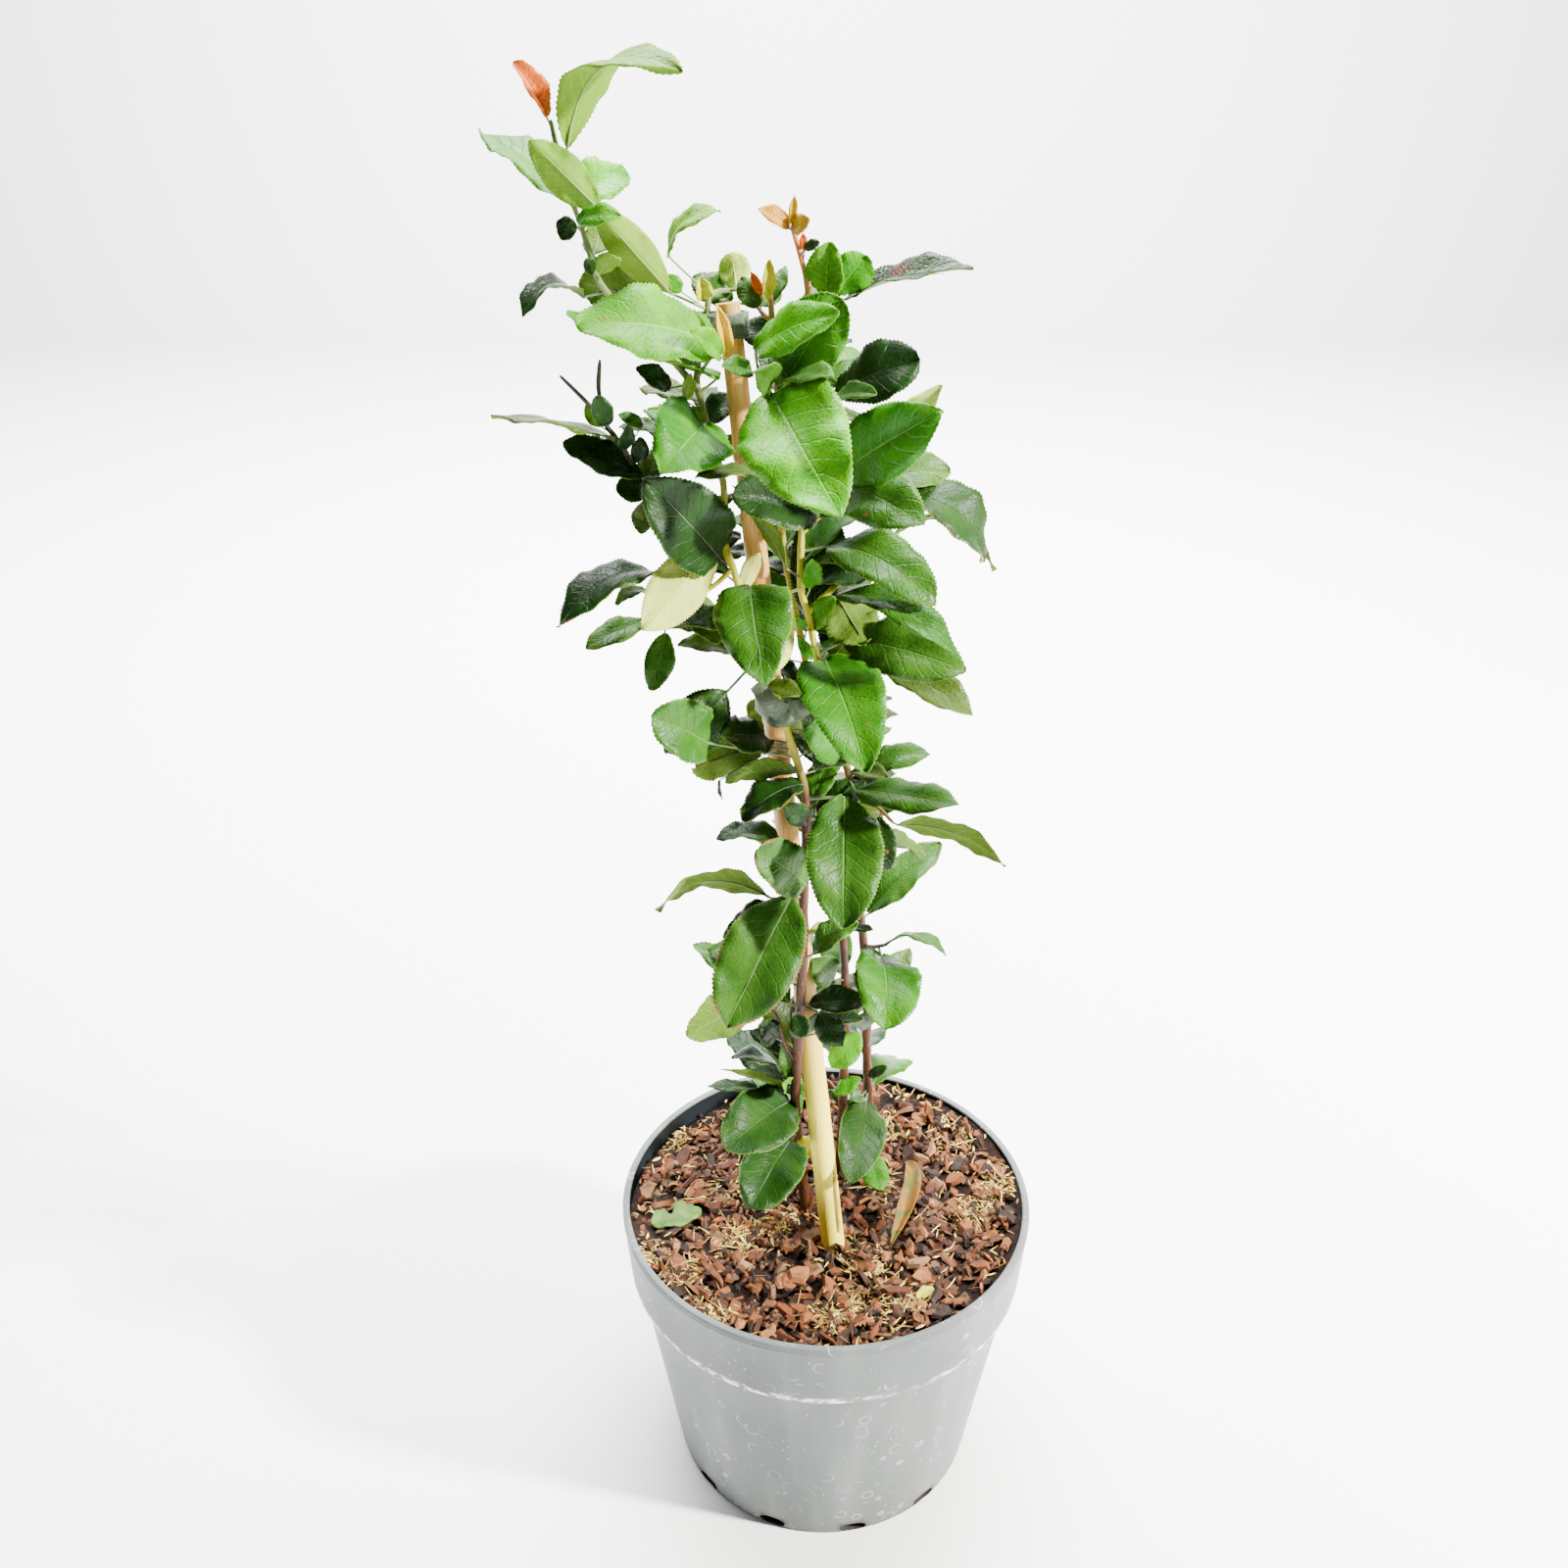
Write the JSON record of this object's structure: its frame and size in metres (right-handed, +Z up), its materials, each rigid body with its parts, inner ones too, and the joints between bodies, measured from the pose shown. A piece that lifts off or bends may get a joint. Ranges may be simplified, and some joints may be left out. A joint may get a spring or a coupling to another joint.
{
  "type": "potted flowering quince",
  "caption": "Young flowering quince in leaf, its woody stems tied to a bamboo cane, in a tapered plastic nursery pot of bark mulch",
  "frame": {"origin": "centre of the pot's flat underside", "axes": "+Z up along the plant, the plant's front and the side seen in the picture face -Y, +X to the right of that view"},
  "size_m": [0.2156, 0.19, 0.6163],
  "materials": {
    "pot": "satin, light grey moulded plastic",
    "growing_mix": "damp peat and bark fines",
    "bark_mulch": "dry split bark, matte",
    "cane": "smooth dry bamboo",
    "tie": "soft grey-green tape",
    "leafy_stem": "waxy green leaves on red-brown wood",
    "dry_leaf": "dry and matte",
    "green_leaf": "limp and matte",
    "yellow_leaf": "limp and matte"
  },
  "bodies": {
    "root": {"pot": "pot", "growing_mix": "growing_mix", "bark_mulch": "bark_mulch", "cane": "cane", "tie_low": "tie", "tie_middle": "tie", "tie_top": "tie", "stem_left": "leafy_stem", "stem_mid": "leafy_stem", "stem_right": "leafy_stem", "shed_leaf_dry": "dry_leaf", "shed_leaf_green": "green_leaf", "shed_leaf_yellow": "yellow_leaf"}
  },
  "joints": []
}
